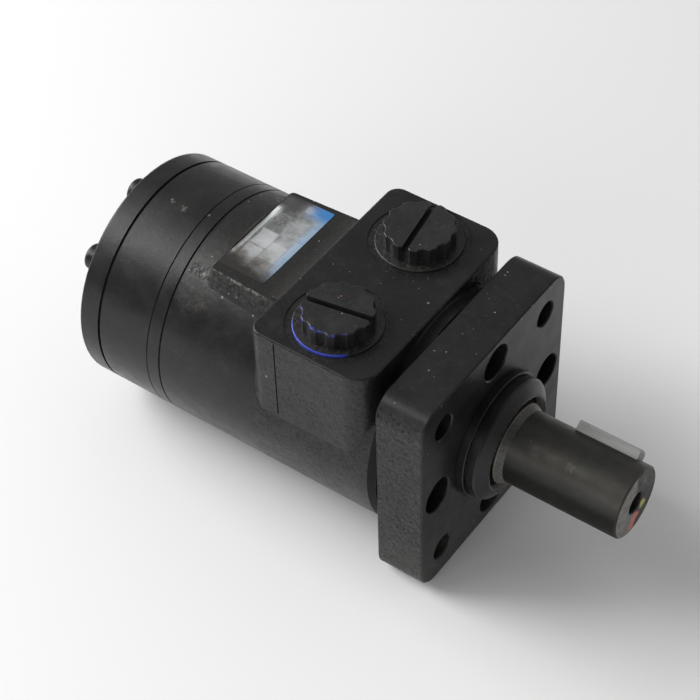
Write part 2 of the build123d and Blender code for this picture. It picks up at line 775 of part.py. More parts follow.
# ---- Port plugs and their rings -------------------------------------------------------------------------
disc_floor = block_top - spotface_depth
head_floor = disc_floor + plug_disc_thickness
plug_scallop_circle = plug_head_radius + plug_scallop_radius - plug_scallop_depth
plug_ring_circle = plug_thread_radius + plug_ring_section + running_gap
for side, slot_angle in plug_slot_angles.items():
    plug_y = port_y * (-1 if side == "left" else 1)
    with BuildPart() as plug:
        posts(port_x, plug_y, plug_thread_radius, plug_thread_floor, disc_floor)
        posts(port_x, plug_y, plug_disc_radius, disc_floor, head_floor)
        disc_rim = plug.edges().filter_by(GeomType.CIRCLE).sort_by(Axis.Z)[-1]
        fillet(disc_rim, radius=0.35)
        with BuildSketch(Plane.XY.offset(head_floor)):
            with Locations((port_x, plug_y)):
                Circle(plug_head_radius)
                with PolarLocations(plug_scallop_circle, plug_scallops, start_angle=slot_angle):
                    Circle(plug_scallop_radius, mode=Mode.SUBTRACT)
        extrude(amount=plug_head_top - head_floor)
        fillet(plug.faces().sort_by(Axis.Z)[-1].edges(), radius=0.4)
        with BuildSketch(Plane.XY.offset(plug_head_top - plug_slot_depth)):
            with Locations(Location((port_x, plug_y, 0), (0, 0, slot_angle))):
                Rectangle(3 * plug_head_radius, plug_slot_width)
        extrude(amount=plug_slot_depth + 1, mode=Mode.SUBTRACT)
        posts(port_x, plug_y, plug_hollow_radius, plug_thread_floor - 1, plug_hollow_top, Mode.SUBTRACT)
    save(plug.part, f"port_plug_{side}")
    with BuildPart() as plug_ring:
        with BuildSketch(Plane.XZ.offset(-plug_y)) as ring_section:
            with Locations((port_x + plug_ring_circle, disc_floor - plug_ring_section)):
                Circle(plug_ring_section)
        revolve(ring_section.sketch, axis=Axis((port_x, plug_y, 0), (0, 0, 1)))
    save(plug_ring.part, f"plug_ring_{side}")

# ---- Name plate -------------------------------------------------------------------------------------------
with BuildPart() as name_plate:
    with BuildSketch(Plane.XY.offset(pad_top)):
        with Locations(((plate_back + plate_front) / 2, (plate_low + plate_high) / 2)):
            RectangleRounded(plate_front - plate_back, plate_high - plate_low, 0.8)
    extrude(amount=plate_thickness)
save(name_plate.part, "name_plate")
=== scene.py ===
"""Studio scene of the hydraulic motor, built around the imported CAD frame."""

import math
import bpy
from mathutils import Matrix, Vector


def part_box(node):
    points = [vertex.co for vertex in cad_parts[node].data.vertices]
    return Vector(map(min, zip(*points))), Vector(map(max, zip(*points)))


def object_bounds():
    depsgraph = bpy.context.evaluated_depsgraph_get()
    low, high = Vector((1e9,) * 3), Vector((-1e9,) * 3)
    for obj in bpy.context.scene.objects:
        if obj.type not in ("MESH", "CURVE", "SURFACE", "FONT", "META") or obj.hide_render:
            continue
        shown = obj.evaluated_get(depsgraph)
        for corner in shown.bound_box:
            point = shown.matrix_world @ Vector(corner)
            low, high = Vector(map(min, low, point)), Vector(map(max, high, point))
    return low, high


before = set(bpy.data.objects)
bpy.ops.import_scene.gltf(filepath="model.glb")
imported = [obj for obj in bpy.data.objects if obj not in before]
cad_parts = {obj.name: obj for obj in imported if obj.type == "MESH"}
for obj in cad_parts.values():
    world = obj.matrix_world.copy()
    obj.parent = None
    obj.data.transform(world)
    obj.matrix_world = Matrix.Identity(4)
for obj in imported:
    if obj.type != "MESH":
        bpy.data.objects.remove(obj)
cad_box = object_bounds()

# ---- Places on the motor, in metres --------------------------------------------------------------
MM = 0.001
plate_low, plate_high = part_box("name_plate")
PAD_TOP = plate_low[2]
BLOCK_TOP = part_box("housing")[1][2]
SHAFT_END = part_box("output_shaft")[1][0]
NOSE_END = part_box("mounting_flange")[1][0]
BLOCK_FRONT = -21 * MM
BLOCK_REAR = -66.4 * MM
DRUM_REAR = -104 * MM
DRUM_RADIUS = 41.2 * MM


def middle(node):
    """The centre of a node's box."""
    low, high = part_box(node)
    return (Vector(low) + Vector(high)) / 2


# ---- Camera: three-quarter view from above, off the shaft end ------------------------------------
CAMERA_PLACE = Vector((0.2281, -0.3787, 0.5032))
CAMERA_AZIMUTH = math.radians(36.944)
CAMERA_ELEVATION = math.radians(46.460)
CAMERA_ROLL = math.radians(-1.97)
CAMERA_LENS = 106.5
SENSOR_WIDTH = 36.0
NEAR_CLIP = 0.01


def make_camera():
    level = math.cos(CAMERA_ELEVATION)
    forward = Vector((-math.sin(CAMERA_AZIMUTH) * level, math.cos(CAMERA_AZIMUTH) * level,
                      -math.sin(CAMERA_ELEVATION)))
    right = forward.cross(Vector((0, 0, 1))).normalized()
    up = right.cross(forward)
    tilted_right = right * math.cos(CAMERA_ROLL) + up * math.sin(CAMERA_ROLL)
    tilted_up = up * math.cos(CAMERA_ROLL) - right * math.sin(CAMERA_ROLL)
    turn = Matrix((tilted_right, tilted_up, -forward)).transposed().to_4x4()
    data = bpy.data.cameras.new("camera")
    data.lens = CAMERA_LENS
    data.sensor_width = SENSOR_WIDTH
    data.clip_start = NEAR_CLIP
    camera = bpy.data.objects.new("camera", data)
    camera.matrix_world = Matrix.Translation(CAMERA_PLACE) @ turn
    bpy.context.scene.collection.objects.link(camera)
    bpy.context.scene.camera = camera


# ---- Node helpers --------------------------------------------------------------------------------
def feed(socket, value):
    """Links a socket to a value that varies, or sets it to one that doesn't. None leaves it as it is."""
    if value is None:
        return
    if isinstance(value, bpy.types.NodeSocket):
        socket.id_data.links.new(value, socket)
    elif isinstance(value, tuple) and len(value) == 3 and socket.type == "RGBA":
        socket.default_value = (*value, 1)
    else:
        socket.default_value = value


def feed_named(node, values):
    for name, value in values.items():
        feed(node.inputs[name], value)


def add_node(tree, kind, *inputs, **settings):
    """A node with its settings made and its inputs fed, in order."""
    made = tree.nodes.new(kind)
    for key, value in settings.items():
        setattr(made, key, value)
    for socket, value in zip(made.inputs, inputs):
        feed(socket, value)
    return made


def smooth_step(tree, value, low, high, start, end):
    """Goes smoothly from start to end as the value goes from low to high."""
    made = add_node(tree, "ShaderNodeMapRange", value, interpolation_type="SMOOTHSTEP")
    feed_named(made, {"From Min": low, "From Max": high, "To Min": start, "To Max": end})
    return made.outputs["Result"]


class Graph:
    """One material's nodes. Places are the piece's own, in metres, and facing is its own normal."""

    def __init__(self, name):
        self.material = bpy.data.materials.new(name)
        self.material.use_nodes = True
        self.tree = self.material.node_tree
        self.shader = self.tree.nodes["Principled BSDF"]
        coordinates = self.node("ShaderNodeTexCoord")
        self.place = coordinates.outputs["Object"]
        self.x, self.y, self.z = self.split(self.place)
        self.facing_x, self.facing_y, self.facing_z = self.split(coordinates.outputs["Normal"])
        self.normal = None

    def node(self, kind, *inputs, **settings):
        return add_node(self.tree, kind, *inputs, **settings)

    def split(self, vector):
        return self.node("ShaderNodeSeparateXYZ", vector).outputs

    def math(self, operation, *values):
        return self.node("ShaderNodeMath", *values, operation=operation).outputs[0]

    def chain(self, operation, first, *others):
        """The operation on the first two values, then on the result and the next one, and so on."""
        for other in others:
            first = self.math(operation, first, other)
        return first

    def add(self, *values):
        return self.chain("ADD", *values)

    def times(self, *values):
        return self.chain("MULTIPLY", *values)

    def either(self, *values):
        """The highest of the values."""
        return self.chain("MAXIMUM", *values)

    def unsigned(self, value):
        return self.math("ABSOLUTE", value)

    def rest_of(self, value):
        """One less the value."""
        return self.math("SUBTRACT", 1.0, value)

    def ramp(self, value, low, high, start=0.0, end=1.0):
        return smooth_step(self.tree, value, low, high, start, end)

    def window(self, value, low, high, soft):
        """One between low and high, with soft ends."""
        rise = self.ramp(value, low - soft, low + soft)
        return self.times(rise, self.ramp(value, high + soft, high - soft))

    def noise(self, size, detail=3.0, rough=0.5, stretch=(1, 1, 1), shift=(0, 0, 0)):
        """Cloudy noise with features of a given size."""
        place = self.node("ShaderNodeMapping", self.place)
        feed_named(place, {"Scale": stretch, "Location": shift})
        made = self.node("ShaderNodeTexNoise", place.outputs[0])
        feed_named(made, {"Scale": 1 / size, "Detail": detail, "Roughness": rough})
        return made.outputs["Fac"]

    def blocks(self, length, width, joint):
        """Rows of soft-edged blocks along Y, each of its own value, with dark joints."""
        bend = self.node("ShaderNodeTexNoise", self.place)
        feed_named(bend, {"Scale": 1 / length})
        reach = (0.35 * width,) * 3
        bent = self.node("ShaderNodeVectorMath", bend.outputs["Color"], reach, operation="MULTIPLY")
        laid = self.node("ShaderNodeCombineXYZ", self.y, self.x, 0.0)
        place = self.node("ShaderNodeVectorMath", laid.outputs[0], bent.outputs[0], operation="ADD")
        # The darkest block, the lightest block and the joint.
        tones = ((0.0,) * 3, (1.0,) * 3, (0.2,) * 3)
        bricks = self.node("ShaderNodeTexBrick", place.outputs[0], *tones)
        feed_named(bricks, {"Scale": 1, "Brick Width": length, "Row Height": width})
        feed_named(bricks, {"Mortar Size": joint, "Mortar Smooth": 1})
        return self.split(bricks.outputs["Color"])[0]

    def specks(self, spacing, share, radius, shift=(0, 0, 0)):
        """Small round dots, in a share of the cells of a grid. The radius is in cells."""
        place = self.node("ShaderNodeMapping", self.place)
        feed_named(place, {"Location": shift})
        cells = self.node("ShaderNodeTexVoronoi", place.outputs[0], feature="F1")
        feed_named(cells, {"Scale": 1 / spacing})
        lot = self.split(cells.outputs["Color"])
        inside = self.math("LESS_THAN", cells.outputs["Distance"], self.times(lot[1], radius))
        return self.times(inside, self.math("LESS_THAN", lot[0], share))

    def fleck(self, point, radius, ragged=0.5):
        """A ragged spot round a place."""
        away = self.node("ShaderNodeVectorMath", self.place, point, operation="DISTANCE")
        wobble = self.times(self.add(self.noise(radius * 0.8, 2), -0.5), 2 * ragged * radius)
        return self.ramp(self.add(away.outputs["Value"], wobble), radius, radius * 0.6)

    def flecks(self, spots, ragged=0.5):
        """Ragged spots, from a table of places and radii."""
        return self.either(*(self.fleck(place, radius, ragged) for place, radius in spots))

    def polar(self, centre):
        """Distance and angle (degrees, from +X towards +Y) about an upright axis through a place."""
        across = self.add(self.x, -centre[0])
        along = self.add(self.y, -centre[1])
        squares = self.add(self.times(across, across), self.times(along, along))
        angle = self.times(self.math("ARCTAN2", along, across), 180 / math.pi)
        return self.math("SQRT", squares), angle

    def radius_about_x(self):
        """Distance from the shaft axis."""
        return self.math("SQRT", self.add(self.times(self.y, self.y), self.times(self.z, self.z)))

    def blend(self, factor, first, second):
        made = self.node("ShaderNodeMix", data_type="RGBA")
        colours = [socket for socket in made.inputs if socket.type == "RGBA"]
        feed(made.inputs["Factor"], factor)
        feed(colours[0], first)
        feed(colours[1], second)
        return [socket for socket in made.outputs if socket.type == "RGBA"][0]

    def coats(self, colour, *layers):
        """A colour with others laid over it in turn, each by its own share."""
        for share, coat in layers:
            colour = self.blend(share, colour, coat)
        return colour

    def lift(self, height, depth, strength=1.0):
        """Adds relief of a given depth in metres."""
        made = self.node("ShaderNodeBump")
        feed_named(made, {"Distance": depth, "Strength": strength})
        feed_named(made, {"Height": height, "Normal": self.normal})
        self.normal = made.outputs["Normal"]

    def finish(self, colour, roughness, metallic=None, shine=None):
        feed_named(self.shader, {
            "Base Color": colour,
            "Roughness": roughness,
            "Normal": self.normal,
            "Metallic": metallic,
            "Specular IOR Level": shine,
        })
        return self.material


# ---- Floor and light -----------------------------------------------------------------------------
FLOOR_SIZE = 6.0
FLOOR_LOOK = {"Base Color": (0.94, 0.94, 0.94), "Roughness": 0.9, "Specular IOR Level": 0.1}

# Name, place, target, width, height and radiance.
SOFTBOXES = (
    ("main_box", (-0.68, -0.50, 1.05), (-0.04, 0, 0), 0.75, 0.50, 2.1),
    ("rear_box", (-1.10, -0.25, 0.95), (-0.02, 0, 0), 1.2, 1.0, 0.9),
    ("front_fill", (0.12, -1.00, 0.45), (0.02, 0, -0.02), 1.0, 0.6, 1.9),
    ("far_box", (-1.50, -0.35, 0.90), (-0.02, 0, 0), 1.2, 1.0, 6.8),
)
ROOM_LIGHT = 0.36
# Direction, the cosine at the edge and at the core, and the share of light left there.
DARK_STRETCHES = (
    (Vector((0.45, -0.60, 0.66)), 0.55, 0.92, 0.14),
    (Vector((-0.38, -0.86, 0.24)), 0.78, 0.97, 0.22),
)


def make_floor():
    """A pale table top."""
    half = FLOOR_SIZE / 2
    floor_z = cad_box[0][2]
    mesh = bpy.data.meshes.new("floor")
    corners = [(x * half, y * half, floor_z) for x, y in ((-1, -1), (1, -1), (1, 1), (-1, 1))]
    mesh.from_pydata(corners, [], [(0, 1, 2, 3)])
    floor = bpy.data.objects.new("floor", mesh)
    bpy.context.scene.collection.objects.link(floor)
    material = bpy.data.materials.new("pale_floor")
    material.use_nodes = True
    feed_named(material.node_tree.nodes["Principled BSDF"], FLOOR_LOOK)
    mesh.materials.append(material)


def softbox(name, place, target, width, height, radiance):
    """An area light of a given brightness that looks from its place at a target."""
    data = bpy.data.lights.new(name, "AREA")
    data.shape = "RECTANGLE"
    data.size = width
    data.size_y = height
    data.energy = radiance * math.pi * width * height
    light = bpy.data.objects.new(name, data)
    light.location = place
    light.rotation_euler = (Vector(target) - Vector(place)).to_track_quat("-Z", "Y").to_euler()
    bpy.context.scene.collection.objects.link(light)


def make_room():
    """Even light from all round, but for the dark stretches behind the camera and low beside it."""
    world = bpy.data.worlds.new("studio")
    world.use_nodes = True
    tree = world.node_tree
    direction = add_node(tree, "ShaderNodeTexCoord").outputs["Generated"]
    strength = ROOM_LIGHT
    for towards, edge, core, share in DARK_STRETCHES:
        unit = towards.normalized()
        facing = add_node(tree, "ShaderNodeVectorMath", direction, unit, operation="DOT_PRODUCT")
        left = smooth_step(tree, facing.outputs["Value"], edge, core, 1.0, share)
        strength = add_node(tree, "ShaderNodeMath", left, strength, operation="MULTIPLY").outputs[0]
    feed_named(tree.nodes["Background"], {"Strength": strength, "Color": (1, 1, 1)})
    bpy.context.scene.world = world


def make_light():
    for box in SOFTBOXES:
        softbox(*box)
    make_room()
    bpy.context.scene.view_settings.view_transform = "Standard"


# ---- Paint ---------------------------------------------------------------------------------------
BLACK = (0.0085, 0.0085, 0.0092)
WORN_BLACK = (0.0165, 0.0158, 0.0155)
# A film of dust; laid on the flange's lower part it is painted light.
HAZE_AND_PAINTED_LIGHT = (0.066, 0.062, 0.057)
DUST = (0.38, 0.37, 0.35)
BARE_EDGE = (0.17, 0.16, 0.145)
BARE_WALL = (0.86, 0.78, 0.78)
COPPER = (0.42, 0.17, 0.08)
SMOOTH_SHINE = 0.33

# Places and radii of small bare spots.
REAR_SPOTS = (
    ((-0.1190, -0.0060, 0.0408), 1.5 * MM),
    ((-0.1240, -0.0050, 0.0409), 1.3 * MM),
    ((-0.1100, -0.0040, 0.0410), 0.8 * MM),
)
HOUSING_SPOTS = (
    ((-0.0982, -0.0220, 0.0348), 0.7 * MM),
    ((-0.0884, -0.0253, 0.0325), 0.6 * MM),
    ((-0.0259, 0.0005, 0.0437), 0.5 * MM),
    ((-0.0661, 0.0010, 0.0437), 0.5 * MM),
    ((-0.0350, -0.0266, 0.0437), 0.5 * MM),
    ((-0.0539, 0.0115, 0.0437), 0.5 * MM),
)


def satin_paint(graph, cast=None, haze=None, chips=None, dusty=None, dull=None):
    """Sprayed satin black.

    Cast marks rough iron under it, haze a dusty film (laid as painted light on the flange's lower part),
    chips bare edges, dusty more white dots, and dull paint with hardly a shine.
    """
    worn = graph.ramp(graph.noise(0.022, 5, 0.6), 0.3, 0.75)
    mottle = graph.ramp(graph.noise(0.0013, 4, 0.75, shift=(9, 4, 2)), 0.46, 0.70)
    film = graph.times(graph.ramp(graph.noise(0.009, 5, 0.65, shift=(1, 2, 3)), 0.50, 0.78), 0.18)
    film = graph.add(film, graph.times(mottle, 0.08))
    if haze is not None:
        film = graph.either(film, graph.times(haze, graph.add(graph.times(mottle, 0.7), 0.45)))
    dots = graph.either(
        graph.specks(0.0042, 0.10, 0.085),
        graph.specks(0.010, 0.12, 0.045, shift=(3, 1, 2)),
    )
    if dusty is not None:
        fine_dots = graph.specks(0.0016, 0.16, 0.20, shift=(5, 5, 1))
        dots = graph.either(dots, graph.times(dusty, fine_dots))
    colour = graph.coats(BLACK, (worn, WORN_BLACK), (film, HAZE_AND_PAINTED_LIGHT), (graph.times(dots, 0.65), DUST))
    if chips is not None:
        colour = graph.blend(chips, colour, BARE_EDGE)

    roughness = graph.ramp(graph.noise(0.006, 4, 0.6, shift=(5, 1, 2)), 0.25, 0.8, 0.27, 0.40)
    shine = SMOOTH_SHINE
    if cast is not None:
        pores = graph.noise(0.0012, 3, 0.65, shift=(7, 7, 7))
        roughness = graph.add(roughness, graph.times(cast, 0.05))
        deep = graph.times(cast, graph.ramp(pores, 0.47, 0.36))
        raised = graph.times(cast, graph.ramp(pores, 0.53, 0.66))
        shine = graph.add(SMOOTH_SHINE, graph.times(raised, 0.20), graph.times(deep, -0.24))
        graph.lift(graph.noise(0.0030, 3, 0.5), 0.45 * MM, graph.times(cast, 0.8))
        graph.lift(pores, 0.26 * MM, cast)
    if dull is not None:
        shine = graph.times(shine, graph.ramp(dull, 0, 1, 1.0, 0.2))
        roughness = graph.either(roughness, graph.times(dull, 0.6))
    graph.lift(graph.noise(0.0014, 3, 0.5, shift=(2, 5, 1)), 0.07 * MM, 0.6)
    # The socket keeps a plain value for an export that takes no varying one.
    graph.shader.inputs["Specular IOR Level"].default_value = SMOOTH_SHINE
    return graph.finish(colour, roughness, shine=shine)


def machined_paint(name):
    """Paint over turned plates and rings."""
    graph = Graph(name)
    graph.lift(graph.noise(0.0009, 2, 0.5, stretch=(1, 0.03, 0.03)), 0.01 * MM, 0.4)
    upper = graph.ramp(graph.z, 18 * MM, 38 * MM)
    streaks = graph.noise(0.008, 5, 0.7, stretch=(1, 0.5, 0.5), shift=(4, 4, 1))
    rub = graph.noise(0.0018, 4, 0.7, stretch=(1, 0.15, 0.3), shift=(8, 1, 1))
    worn = graph.either(graph.ramp(streaks, 0.42, 0.75), graph.ramp(rub, 0.55, 0.75, 0, 0.8))
    broken = graph.ramp(graph.noise(0.0009, 3, 0.7, shift=(1, 1, 6)), 0.42, 0.62, 0, 0.8)
    marks = graph.times(graph.flecks(REAR_SPOTS, 0.9), broken)
    return satin_paint(graph, haze=graph.times(upper, 0.35, worn), chips=marks)


def plug_seat(graph, node):
    """The ring of the block's top round the seat of a plug."""
    radius, _ = graph.polar(middle(node))
    ring = graph.window(radius, 14.6 * MM, 16.8 * MM, 0.5 * MM)
    return graph.times(ring, graph.ramp(graph.z, BLOCK_TOP - 3 * MM, BLOCK_TOP - 2.5 * MM))


def housing_haze(graph, pad, pad_wall, seats, crumbs):
    """Dust on the housing: by the label, on the pad, round the plugs and on the block's rear edge."""
    patch = graph.fleck((-0.100, -0.022, 0.0345), 14 * MM, 0.8)
    scuffs = graph.noise(0.0022, 4, 0.7, stretch=(0.4, 1, 1), shift=(1, 8, 3))
    scuffed = graph.ramp(scuffs, 0.38, 0.64, 0.10, 0.80)
    pad_top = graph.times(pad, graph.ramp(graph.z, PAD_TOP - 2.5 * MM, PAD_TOP - 1 * MM))
    pad_front = graph.times(
        graph.window(graph.x, BLOCK_REAR - 6.6 * MM, BLOCK_REAR, 0.6 * MM),
        graph.ramp(graph.z, PAD_TOP - 3 * MM, PAD_TOP - 2 * MM),
    )
    rear_edge = graph.times(
        graph.window(graph.x, BLOCK_REAR - 0.2 * MM, BLOCK_REAR + 1.2 * MM, 0.2 * MM),
        graph.ramp(graph.z, BLOCK_TOP - 2 * MM, BLOCK_TOP - 1.4 * MM),
    )
    return graph.either(
        graph.times(patch, scuffed),
        graph.times(pad_wall, scuffed, 0.45),
        graph.times(pad_top, 0.30),
        graph.times(pad_front, 0.42),
        graph.times(seats, crumbs, 0.35),
        graph.times(rear_edge, graph.ramp(crumbs, 0, 1, 0.3, 0.8)),
    )


def housing_chips(graph, crumbs):
    """Bare iron on the housing: the pad's near rim, small spots and the step behind the label."""
    edge = graph.add(graph.unsigned(graph.y), graph.times(graph.x, -0.05))
    rim = graph.times(
        graph.window(edge, 26.45 * MM, 26.95 * MM, 0.12 * MM),
        graph.ramp(graph.y, -10 * MM, -15 * MM),
        graph.window(graph.z, 38.6 * MM, 40 * MM, 0.2 * MM),
        graph.window(graph.x, -94 * MM, -72 * MM, 1 * MM),
    )
    broken = graph.ramp(graph.noise(0.0020, 3, 0.7), 0.46, 0.56, 0, 0.8)
    step = graph.times(
        graph.window(graph.x, plate_low[0] - 2 * MM, plate_low[0] + 0.1 * MM, 0.1 * MM),
        graph.ramp(graph.facing_x, 0.4, 0.6),
        graph.ramp(graph.unsigned(graph.y), 15 * MM, 13.5 * MM),
        graph.ramp(crumbs, 0, 1, 1.0, 0.75),
    )
    return graph.either(graph.times(rim, broken), graph.flecks(HOUSING_SPOTS), step)


def housing_paint():
    graph = Graph("housing_paint")
    levelness = graph.unsigned(graph.facing_z)
    block = graph.window(graph.x, BLOCK_REAR, BLOCK_FRONT, 0.3 * MM)
    pad = graph.times(
        graph.window(graph.x, DRUM_REAR, BLOCK_REAR, 0.3 * MM),
        graph.ramp(graph.z, 33 * MM, 34.5 * MM),
    )
    pad_wall = graph.times(
        pad,
        graph.ramp(graph.unsigned(graph.y), 18 * MM, 22 * MM),
        graph.ramp(levelness, 0.99, 0.96),
    )
    seats = graph.either(plug_seat(graph, "port_plug_left"), plug_seat(graph, "port_plug_right"))
    crumbs = graph.ramp(graph.noise(0.0011, 3, 0.7, shift=(6, 6, 2)), 0.50, 0.66)
    cast = graph.either(
        graph.times(block, graph.ramp(levelness, 0.75, 0.45), 0.55),
        pad_wall,
        graph.times(graph.ramp(graph.radius_about_x(), DRUM_RADIUS + 0.4 * MM, DRUM_RADIUS), 0.10),
        graph.times(seats, 0.7),
    )
    haze = housing_haze(graph, pad, pad_wall, seats, crumbs)
    chips = housing_chips(graph, crumbs)
    block_top = graph.times(graph.ramp(graph.z, BLOCK_TOP - 0.5 * MM, BLOCK_TOP - 0.2 * MM), 0.45)
    neck = graph.ramp(graph.x, BLOCK_FRONT - 0.3 * MM, BLOCK_FRONT + 0.4 * MM)
    return satin_paint(graph, cast, haze, chips, dusty=graph.either(block_top, pad), dull=neck)


def flange_paint():
    """Paint rough on the sides, worn at the nose's lip, bare on its inner wall, with painted light low
    down.
    """
    graph = Graph("flange_paint")
    outer = graph.ramp(graph.unsigned(graph.y), 38 * MM, 40 * MM)
    cast = graph.either(
        graph.times(graph.ramp(graph.unsigned(graph.facing_y), 0.55, 0.85), outer),
        graph.ramp(graph.z, -39 * MM, -40.5 * MM),
        graph.times(graph.ramp(graph.facing_x, -0.4, -0.8), 0.5),
        graph.times(outer, graph.ramp(graph.facing_x, 0.7, 0.4), 0.30),
    )
    top = graph.ramp(graph.z, 37.5 * MM, 40.6 * MM)
    smears = graph.ramp(graph.noise(0.004, 5, 0.75, shift=(3, 3, 3)), 0.45, 0.80, 0, 0.5)
    # Painted light: a paler film over the flange's lower part, standing for the bright floor it
    # reflects.
    low = graph.times(graph.ramp(graph.z, -8 * MM, -38 * MM), 0.8)
    # The film is dust smears on the top and painted light on the lower part.
    haze = graph.either(graph.times(top, smears), low)

    radius = graph.radius_about_x()
    lip = graph.times(
        graph.ramp(graph.x, NOSE_END - 0.5 * MM, NOSE_END - 0.2 * MM),
        graph.ramp(radius, 17.1 * MM, 16.9 * MM),
        graph.ramp(graph.noise(0.0018, 3, 0.6), 0.40, 0.55),
    )
    nose_wall = graph.times(
        graph.window(graph.x, 3.2 * MM, NOSE_END - 0.2 * MM, 0.1 * MM),
        graph.ramp(radius, 16.9 * MM, 16.75 * MM),
    )
    material = satin_paint(graph, cast, haze, lip, dusty=top)
    base = graph.shader.inputs["Base Color"]
    feed(base, graph.blend(nose_wall, base.links[0].from_socket, BARE_WALL))
    return material


def washer_metal():
    """Copper under thin black overspray."""
    graph = Graph("sprayed_copper")
    bare = graph.ramp(graph.noise(0.0022, 4, 0.7), 0.60, 0.68)
    colour = graph.blend(bare, BLACK, COPPER)
    graph.lift(graph.noise(0.0011, 2), 0.03 * MM, 0.5)
    return graph.finish(colour, graph.ramp(bare, 0, 1, 0.38, 0.30), metallic=bare)


# ---- Steel ---------------------------------------------------------------------------------------
OILED = (0.056, 0.055, 0.050)
OILED_LIGHT = (0.078, 0.076, 0.069)
OIL_RINGS = (0.030, 0.029, 0.027)
OIL_BROWN = (0.075, 0.062, 0.046)
# Painted shade for the shaft's near side.
UNDERSIDE_SHADE = (0.012, 0.012, 0.011)
# Painted shade inside the shaft's centre hole.
CENTRE_HOLE_SHADE = (0.012, 0.012, 0.012)
CONE_DARK = (0.075, 0.074, 0.072)
CONE_LIGHT = (0.125, 0.123, 0.119)
CONE_EDGE = (0.26, 0.23, 0.19)
END_DARK = (0.032, 0.030, 0.028)
END_SCORES = (0.27, 0.26, 0.245)
END_GREY = (0.16, 0.155, 0.145)
END_BRIGHT = (0.30, 0.29, 0.275)
END_RIM = (0.045, 0.036, 0.027)
YELLOW_MARK = (0.46, 0.46, 0.08)
RED_MARK = (0.62, 0.15, 0.085)
SMEAR = (0.20, 0.195, 0.19)
KEY_DARK = (0.23, 0.23, 0.225)
KEY_LIGHT = (0.32, 0.318, 0.31)
KEY_STAIN = (0.12, 0.115, 0.105)
OIL_TINT = (0.34, 0.30, 0.25)
TURNED_DARK = (0.42, 0.415, 0.41)
TURNED_LIGHT = (0.58, 0.575, 0.565)
DRAWN_DARK = (0.34, 0.335, 0.33)
DRAWN_LIGHT = (0.52, 0.515, 0.505)

RED_SPOTS = (
    ((SHAFT_END, 0.0002, -0.0070), 2.6 * MM),
    ((SHAFT_END, -0.0018, -0.0094), 1.9 * MM),
)


def shaft_end_colour(graph, red, yellow):
    """The shaft's end: one half ground bright, the other dark and scored, with two paint marks."""
    grain = graph.noise(0.0016, 4, 0.7, stretch=(1, 0.4, 1), shift=(2, 2, 2))
    light_half = graph.blend(graph.ramp(grain, 0.35, 0.65), END_GREY, END_BRIGHT)
    scores = graph.noise(0.0010, 3, 0.7, stretch=(1, 0.35, 1.6), shift=(5, 2, 7))
    scored = graph.times(graph.ramp(scores, 0.56, 0.66), graph.ramp(graph.z, 0.5 * MM, 4 * MM))
    dark_half = graph.blend(scored, END_DARK, END_SCORES)
    wavy = graph.add(graph.y, graph.times(graph.add(graph.noise(0.004, 3), -0.5), 3 * MM))
    return graph.coats(
        light_half,
        (graph.ramp(wavy, -1.5 * MM, 1.0 * MM), dark_half),
        (graph.times(yellow, 0.9), YELLOW_MARK),
        (graph.times(red, 0.92), RED_MARK),
    )


